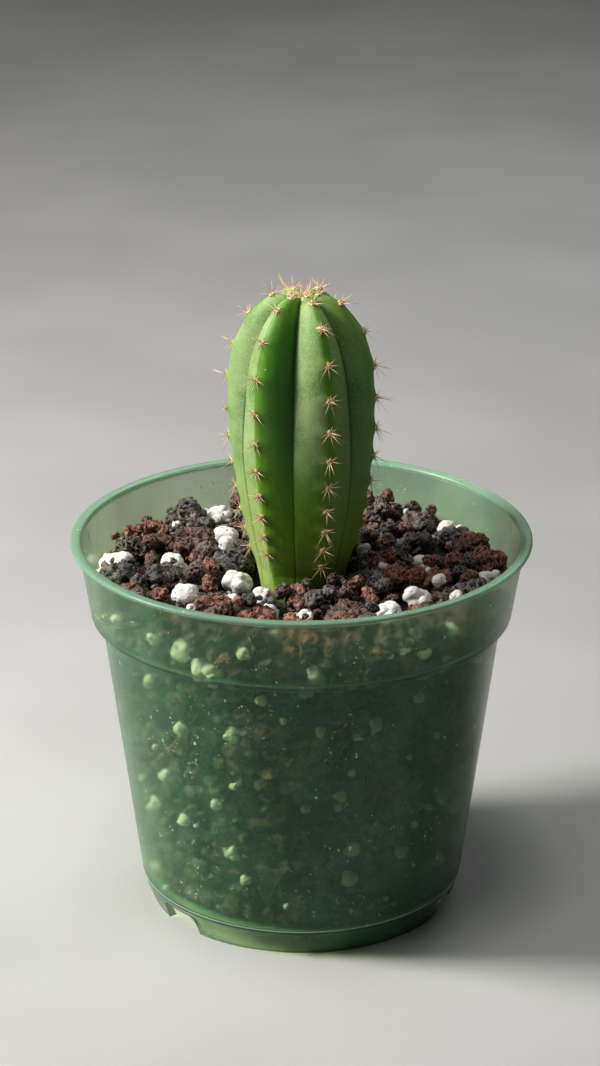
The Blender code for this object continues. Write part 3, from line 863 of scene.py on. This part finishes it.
class Tufts:
    """Spines and wool that grow together, as one mesh of each."""

    def __init__(self, rng):
        self.rng = rng
        self.spines, self.wool = bmesh.new(), bmesh.new()
        self.tip = self.spines.verts.layers.float.new("tip")
        self.young = self.wool.verts.layers.float.new("young")

    def add_spine(self, point, direction, length, thickness):
        place = aimed(point + direction * length / 2, direction)
        for vert in cone(self.spines, place, 6, (thickness, thickness * 0.2), length):
            vert[self.tip] = (vert.co - point).dot(direction) / length

    def add_wool(self, young, point, direction, width):
        """A felted cushion with short hairs standing out of it."""
        rng = self.rng
        frame = aimed(point - direction * 0.10 * width, direction, rng.uniform(0, math.tau))
        size = Matrix.Diagonal((width / 2, width / 2 * rng.uniform(0.75, 1.0), width * 0.30, 1.0))
        made = bmesh.ops.create_icosphere(self.wool, subdivisions=3, radius=1.0, matrix=frame @ size)
        verts = made["verts"]
        for vert in verts:
            vert.co += (vert.co - point) * 0.5 * noise.noise(vert.co * 2400)
        for _ in range(WOOL_HAIRS):
            lean = math.radians(rng.uniform(5, 80))
            swing = rng.uniform(0, math.tau)
            away = math.sin(lean)
            hair = frame.to_3x3() @ Vector((away * math.cos(swing), away * math.sin(swing), math.cos(lean)))
            base = frame.translation + hair * width * 0.24
            place = aimed(base + hair * width * 0.2, hair)
            verts += cone(self.wool, place, 3, HAIR_RADII, width * 0.40, capped=False)
        for vert in verts:
            vert[self.young] = young

    def add_cluster(self, stem, rib, areole):
        """One areole: a cushion of wool, a star of radial spines longest downwards, and a central spine."""
        rng = self.rng
        point, outward, up, side = cluster_frame(stem, rib, areole)
        share = stem.share_up(point.z)
        young = smoothstep(9 * MM, 2 * MM, areole[0]) * smoothstep(0.8, 0.95, share)
        size = 0.82 + 0.30 * share
        self.add_wool(young, point, outward, WOOL_WIDTH * size * rng.uniform(0.9, 1.1))
        for swing, reach in RADIAL_SPINES:
            if rng.random() < MISSING_SPINES:
                continue
            angle = math.radians(swing + rng.uniform(-13, 13))
            lift = math.radians(rng.uniform(12, 40))
            spread = up * math.cos(angle) + side * math.sin(angle)
            direction = (spread * math.cos(lift) + outward * math.sin(lift)).normalized()
            length = SPINE_LENGTH * reach * (1.03 - 0.10 * share) * rng.uniform(0.85, 1.2)
            self.add_spine(point, direction, length, SPINE_RADIUS * rng.uniform(0.75, 1.0))
        for _ in range(rng.choice((1, 1, 2))):
            spread = up * rng.uniform(-0.7, 0.35) + side * rng.uniform(-0.5, 0.5)
            direction = (outward + spread).normalized()
            self.add_spine(point, direction, SPINE_LENGTH * rng.uniform(0.75, 1.1), SPINE_RADIUS * 1.1)

    def add_pieces(self, spines_name, wool_name, straw, felt, *nodes):
        add_piece(spines_name, mesh_from(spines_name, self.spines), straw, "spine_straw", *nodes)
        add_piece(wool_name, mesh_from(wool_name, self.wool), felt, "spine_straw")


def make_clusters(stem, straw, felt):
    """Spines and wool, rib by rib."""
    rng = random.Random(SEED)
    for rib in range(RIB_COUNT):
        tufts = Tufts(rng)
        for areole in stem.areoles[rib]:
            tufts.add_cluster(stem, rib, areole)
        tufts.add_pieces(f"spines_rib_{rib + 1}", f"areole_wool_rib_{rib + 1}", straw, felt)


def make_crown(stem, straw, felt):
    """The young tuft on the growing point."""
    rng = random.Random(SEED + 1)
    seat = stem.top - CROWN_DIP
    tufts = Tufts(rng)
    for i in range(CROWN_TUFTS):
        azimuth = stem.rib_azimuth(i) + rng.uniform(-12, 12)
        place = around(azimuth, rng.uniform(0.5, 1.3) * MM, seat + 0.3 * MM)
        up = (from_axis(place) * 160 + Vector((0, 0, 1))).normalized()
        tufts.add_wool(1.0, place, up, rng.uniform(0.8, 1.2) * MM)
        for _ in range(2):
            lean = Vector((rng.uniform(-0.7, 0.7), rng.uniform(-0.7, 0.7), 0.4))
            direction = (up + lean).normalized()
            tufts.add_spine(place, direction, rng.uniform(1.5, 3.2) * MM, SPINE_RADIUS * 0.85)
    tufts.add_pieces("crown_spines", "crown_wool", straw, felt, "crown_spine_tuft")


# ---- grit


def somewhere(rng):
    """A place far along X, so that each grain takes its relief from its own part of the noise."""
    return Vector((rng.uniform(0, 90), 0, 0))


def hollow(p, pitch, shift=Vector((0, 0, 0))):
    """1 in the middle of a cavity and 0 on the walls between cavities that lie this pitch apart."""
    near, far = noise.voronoi(p / pitch + shift)[0][:2]
    return smoothstep(0.04, 0.45, far - near)


def lava_relief(p, size):
    """(how far out in mm, ridge from 0 to 1) of scoria at a point in mm on a grain of this size in mm."""
    scale = min(1.0, size / 7)
    lumps = 0.17 * size * noise.noise(p * (2.2 / size))
    crags = 0.12 * size * (0.55 - 2.4 * abs(noise.noise(p * (3.4 / size) + Vector((9, 4, 2)))))
    cavity = hollow(p, CAVITY_PITCH * scale) * smoothstep(-0.40, 0.15, noise.noise(p * 0.5))
    fine_cavity = hollow(p, FINE_CAVITY_PITCH * scale, Vector((3, 1, 7)))
    out = lumps + crags - (0.75 * cavity + 0.34 * fine_cavity) * scale + 0.25 * scale
    return out, 1 - 0.60 * cavity - 0.40 * fine_cavity


def roughen(bm, size, seed_point):
    """Moves each point of a lava grain along its normal, and notes where its ridges are."""
    ridge = bm.verts.layers.float["ridge"]
    bm.normal_update()
    moves = [(v, v.normal.copy(), lava_relief(v.co / MM + seed_point, size / MM)) for v in bm.verts]
    for vert, normal, (out, height) in moves:
        vert.co += normal * out * MM
        vert[ridge] = height


def puff(bm, radius, rng):
    """Draws the points of a unit ball out into a few rounded lobes grown together, as popped perlite is."""
    ridge = bm.verts.layers.float["ridge"]
    lobes = []
    for i in range(LOBES):
        swing = i * 2.4 + rng.uniform(-0.5, 0.5)
        rise = rng.uniform(-0.8, 0.95)
        flat = math.sqrt(1 - rise**2)
        width = rng.uniform(0.46, 0.62) if i < BROAD_LOBES else rng.uniform(0.20, 0.34)
        centre = Vector((flat * math.cos(swing), flat * math.sin(swing), rise)) * (0.94 - width)
        lobes.append((centre, width))
    drift = somewhere(rng)
    for vert in bm.verts:
        direction = vert.co.normalized()
        reaches = [0.55]
        for centre, width in lobes:
            along = direction.dot(centre)
            inside = width**2 - centre.length_squared + along**2
            if inside > 0:
                reaches.append(max(0.0, along + math.sqrt(inside)))
        reaches.sort()
        reach = sum(r**14 for r in reaches) ** (1 / 14)
        lump = 1 + 0.05 * noise.noise(direction * 3 + drift) + 0.03 * noise.noise(direction * 8 + drift)
        apart = smoothstep(0.0, 0.14, reaches[-1] - reaches[-2])
        vert[ridge] = apart * 0.6 + smoothstep(0.45, 0.75, reach) * 0.4
        vert.co = direction * reach * lump * radius


def grain_layers(bm):
    return [bm.verts.layers.float.new(key) for key in ("ridge", "tone")]


def fitted(bm, low, high):
    """Scales and moves the points to fill a box."""
    columns = list(zip(*(vert.co for vert in bm.verts)))
    least = Vector([min(column) for column in columns])
    most = Vector([max(column) for column in columns])
    sizes = [(high[i] - low[i]) / (most[i] - least[i]) for i in range(3)]
    bmesh.ops.translate(bm, vec=-(least + most) / 2, verts=bm.verts[:])
    bmesh.ops.scale(bm, vec=sizes, verts=bm.verts[:])
    bmesh.ops.translate(bm, vec=(low + high) / 2, verts=bm.verts[:])


def refined(mesh):
    """A mesh with its corners eased and its faces made fine, as a new mesh."""
    obj = new_object("refined", mesh)
    for kind, levels in (("CATMULL_CLARK", 1), ("SIMPLE", 2)):
        subdivision = obj.modifiers.new("refine", "SUBSURF")
        subdivision.subdivision_type = kind
        subdivision.levels = levels
        subdivision.render_levels = levels
    result = applied(obj)
    bpy.data.objects.remove(obj)
    return result


def lava_stone(node, low, high, rng):
    """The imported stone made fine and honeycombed."""
    bm = bmesh.new()
    bm.from_mesh(node.data)
    bmesh.ops.remove_doubles(bm, verts=bm.verts[:], dist=0.01 * MM)
    fine = refined(mesh_from("coarse", bm))
    bm = bmesh.new()
    bm.from_mesh(fine)
    grain_layers(bm)
    roughen(bm, sum((high - low)[:]) / 3, somewhere(rng))
    return bm


def perlite_stone(low, high, rng):
    """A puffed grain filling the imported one's box and standing a little out of the grit."""
    bm = bmesh.new()
    grain_layers(bm)
    bmesh.ops.create_icosphere(bm, subdivisions=5, radius=1.0)
    puff(bm, 1.0, rng)
    inset = Vector((0.07 * (high.x - low.x), 0.07 * (high.y - low.y), 0))
    fitted(bm, low + inset, high - inset + Vector((0, 0, 1.0 * MM)))
    return bm


SLOTS = {"black_lava": "black_lava_rock", "red_lava": "red_lava_rock", "perlite": "white_perlite"}
KINDS = tuple(SLOTS)


def set_tone(verts, layer, rng):
    tone = rng.random()
    for vert in verts:
        vert[layer] = tone


def make_stones(nodes, materials):
    """Every packed stone as its own rough piece. Returns (x, y, z, radius, whether nothing may lie on it)."""
    rng = random.Random(SEED + 5)
    balls = []
    for name, node in sorted(nodes.items()):
        kind = name.rsplit("_", 1)[0]
        if kind not in KINDS:
            continue
        low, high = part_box(name)
        bm = perlite_stone(low, high, rng) if kind == "perlite" else lava_stone(node, low, high, rng)
        set_tone(bm.verts, bm.verts.layers.float["tone"], rng)
        mesh = mesh_from(f"{name}_stone", bm)
        add_piece(f"{name}_stone", mesh, materials[kind], SLOTS[kind], name)
        size = high - low
        balls.append((*(low + high) / 2, (size.x + size.y) / 4 * 0.82, kind == "perlite"))
    return balls


class Heap:
    """Grains of one kind in one mesh, each a turned and sized copy of one of a few rough patterns."""

    def __init__(self, kind, radius, subdivisions, seed):
        self.radius = radius
        self.coarse = subdivisions < 3
        self.bm = bmesh.new()
        self.tone_layer = grain_layers(self.bm)[1]
        rng = random.Random(seed)
        self.patterns = [self.pattern(kind, subdivisions, rng) for _ in range(PATTERNS)]

    def pattern(self, kind, subdivisions, rng):
        grain = bmesh.new()
        grain_layers(grain)
        if kind == "perlite":
            bmesh.ops.create_icosphere(grain, subdivisions=max(3, subdivisions), radius=1.0)
            puff(grain, self.radius, rng)
            return mesh_from("grain", grain)
        sizes = (rng.uniform(1.0, 1.35), rng.uniform(0.75, 1.05), rng.uniform(0.60, 0.90))
        stretch = Matrix.Diagonal((*sizes, 1.0))
        bmesh.ops.create_icosphere(grain, subdivisions=subdivisions, radius=self.radius, matrix=stretch)
        roughen(grain, 2 * self.radius, somewhere(rng))
        if self.coarse:
            for vert in grain.verts:
                vert.co *= rng.uniform(0.84, 1.10)
        return mesh_from("grain", grain)

    def add(self, centre, radius, rng):
        start = len(self.bm.verts)
        self.bm.from_mesh(rng.choice(self.patterns), face_normals=False, vertex_normals=False)
        self.bm.verts.ensure_lookup_table()
        verts = self.bm.verts[start:]
        turn = Matrix.Rotation(rng.uniform(0, math.tau), 4, "Z")
        turn = turn @ Matrix.Rotation(rng.uniform(0, math.pi), 4, "X")
        place = Matrix.Translation(centre) @ turn @ Matrix.Scale(radius / self.radius, 4)
        bmesh.ops.transform(self.bm, matrix=place, verts=verts)
        set_tone(verts, self.tone_layer, rng)

    def mesh(self):
        return mesh_from("grains", self.bm, sharp_angle=32 if self.coarse else None)


def heaps_of(radius, subdivisions, seed):
    return {kind: Heap(kind, radius, subdivisions, seed + i) for i, kind in enumerate(KINDS)}


def add_heaps(heaps, name, materials):
    for kind, heap in heaps.items():
        add_piece(f"{kind}_{name}", heap.mesh(), materials[kind], SLOTS[kind])


def drop_grains(pot, balls, heaps, count, radii, shares, rng):
    """Drops grains one by one onto what already lies there, and leaves out those that stand too high."""
    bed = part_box("potting_mix")[1].z
    ceiling = pot.height - HEADROOM
    wall = pot.inner_radius(bed) - 0.4 * MM
    placed = 0
    for _ in range(count * 40):
        radius = rng.uniform(*radii)
        away = math.sqrt(rng.uniform((STEM_FOOT_RADIUS + 0.6 * radius) ** 2, (wall - radius) ** 2))
        spot = around(rng.uniform(0, 360), away)
        rest = bed + radius * 0.7
        for x, y, z, other, kept_clear in balls:
            reach = (radius + other) * (PERLITE_CLEARANCE if kept_clear else NESTING)
            gap = (spot.x - x) ** 2 + (spot.y - y) ** 2
            if gap < reach**2:
                rest = ceiling if kept_clear else max(rest, z + math.sqrt(reach**2 - gap))
        if rest + radius * 0.8 > ceiling:
            continue
        spot.z = rest
        kind = rng.choices(KINDS, shares)[0]
        heaps[kind].add(spot, radius, rng)
        balls.append((*spot, radius, kind == "perlite"))
        placed += 1
        if placed == count:
            break


def make_small_grains(pot, balls, materials):
    """Medium grains, then crumbs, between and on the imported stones."""
    rng = random.Random(SEED + 2)
    medium = heaps_of(2.4 * MM, 4, SEED + 20)
    drop_grains(pot, balls, medium, MEDIUM_GRAINS, MEDIUM_RADII, MEDIUM_SHARES, rng)
    add_heaps(medium, "medium_grains", materials)
    crumbs = heaps_of(1.1 * MM, 2, SEED + 30)
    drop_grains(pot, balls, crumbs, CRUMBS, CRUMB_RADII, CRUMB_SHARES, rng)
    add_heaps(crumbs, "crumbs", materials)


def make_wall_grains(pot, materials):
    """The grains of the mix that lie against the pot's wall, at slightly different depths."""
    rng = random.Random(SEED + 3)
    heaps = heaps_of(2.2 * MM, 2, SEED + 40)
    height = pot.floor_top + 2 * MM
    while height < pot.height - 10 * MM:
        inner = pot.inner_radius(height)
        if abs(height - pot.step_z) < 2.5 * MM:
            inner = pot.inner_radius(pot.step_z - 1 * MM)
        count = int(math.tau * inner / WALL_GRAIN_PITCH)
        for i in range(count):
            high_up = height > pot.step_z - 3 * MM
            kind = rng.choices(KINDS, COLLAR_SHARES if high_up else WALL_SHARES)[0]
            radius = rng.uniform(*WALL_LAVA_RADII) * MM
            if kind == "perlite":
                radius = rng.uniform(*(COLLAR_PERLITE_RADII if high_up else WALL_PERLITE_RADII)) * MM
            depth = 0.3 * MM + radius * 1.05
            if kind != "perlite":
                depth += abs(rng.gauss(0.4, 0.7)) * MM
            azimuth = 360 * (i + rng.uniform(-0.3, 0.3)) / count
            middle = max(height + rng.uniform(-1.4, 1.4) * MM, pot.floor_top + 1.45 * radius)
            centre = around(azimuth, inner - depth, middle)
            heaps[kind].add(centre, radius, rng)
        height += WALL_GRAIN_PITCH * 0.86
    add_heaps(heaps, "wall_grains", materials)


def make_mix_core(pot, stem, material):
    """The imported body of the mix, inside the grains that show, with the stem's root in it."""
    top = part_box("potting_mix")[1].z
    bottom = pot.floor_top + 0.6 * MM
    inset = 2.6 * MM
    heights = [bottom + (top - 1 * MM - bottom) * i / 24 for i in range(25)]
    profile = [(pot.inner_radius(min(h, pot.step_z - 1 * MM)) - inset, h) for h in reversed(heights)]
    pocket = stem.crest_radius(top) + 0.3 * MM
    root = stem.root_end - 0.3 * MM
    profile += [(0.4 * MM, bottom), (0.4 * MM, root)]
    profile += [(ROOT_RADIUS + 0.3 * MM, root), (pocket, top - 1 * MM)]
    bm = spun(profile, 120)
    for vert in bm.verts:
        if math.hypot(vert.co.x, vert.co.y) > pocket * 1.3:
            vert.co *= 1 + 0.012 * noise.noise(vert.co * 260)
    add_piece("potting_mix_core", mesh_from("mix_core", bm), material, "moist_mix", "potting_mix")


# ---- studio


def make_camera():
    """A long lens, looking slightly down at the rim from the front."""
    data = bpy.data.cameras.new("camera")
    data.sensor_width = 36.0
    data.lens = FOCAL_LENGTH
    data.clip_start = 0.01
    camera = new_object("camera", data)
    camera.location = CAMERA_PLACE
    camera.rotation_euler = (math.pi / 2 - CAMERA_DIP, 0.0, 0.0)
    bpy.context.scene.camera = camera


def make_floor(material):
    bm = bmesh.new()
    bmesh.ops.create_circle(bm, cap_ends=True, segments=96, radius=4.0)
    floor = make_object("studio_floor", mesh_from("floor", bm), material)


def add_lamp(name, azimuth, elevation, distance, size, power, color):
    """A soft light at an azimuth and elevation in degrees, aimed at the stem."""
    data = bpy.data.lights.new(name, "AREA")
    data.shape = "RECTANGLE"
    data.size, data.size_y = size
    data.energy = power
    data.color = color
    lamp = new_object(name, data)
    target = Vector((0, 0, 0.09))
    rise = math.radians(elevation)
    lamp.location = target + around(azimuth, distance * math.cos(rise), distance * math.sin(rise))
    lamp.rotation_euler = (target - lamp.location).to_track_quat("-Z", "Y").to_euler()


def make_light():
    world = bpy.data.worlds.new("studio")
    world.use_nodes = True
    back = world.node_tree.nodes["Background"]
    back.inputs["Color"].default_value = (1.0, 0.98, 0.95, 1.0)
    back.inputs["Strength"].default_value = 0.05
    bpy.context.scene.world = world
    add_lamp("key", -88, 38, 0.75, (0.18, 0.18), 9.6, (1.0, 0.975, 0.93))
    add_lamp("top", -20, 82, 0.70, (0.22, 0.22), 1.7, (1.0, 0.98, 0.95))
    add_lamp("back", 160, 40, 0.9, (0.4, 0.25), 1.0, (0.95, 0.98, 1.0))


def main():
    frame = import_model()
    pot = PotShape()
    stem = StemShape(pot)
    grit = {kind: lava(SLOTS[kind], *colors) for kind, colors in LAVA_COLORS.items()}
    grit["perlite"] = white_perlite()
    straw, felt = spine_straw(), areole_wool()
    make_pot(pot, green_plastic(pot))
    make_stem(stem, cactus_skin())
    make_clusters(stem, straw, felt)
    make_crown(stem, straw, felt)
    make_mix_core(pot, stem, moist_mix())
    balls = make_stones(frame["nodes"], grit)
    make_small_grains(pot, balls, grit)
    make_wall_grains(pot, grit)
    make_camera()
    make_floor(floor_paint())
    make_light()
    bpy.context.scene.view_settings.view_transform = "Standard"


main()
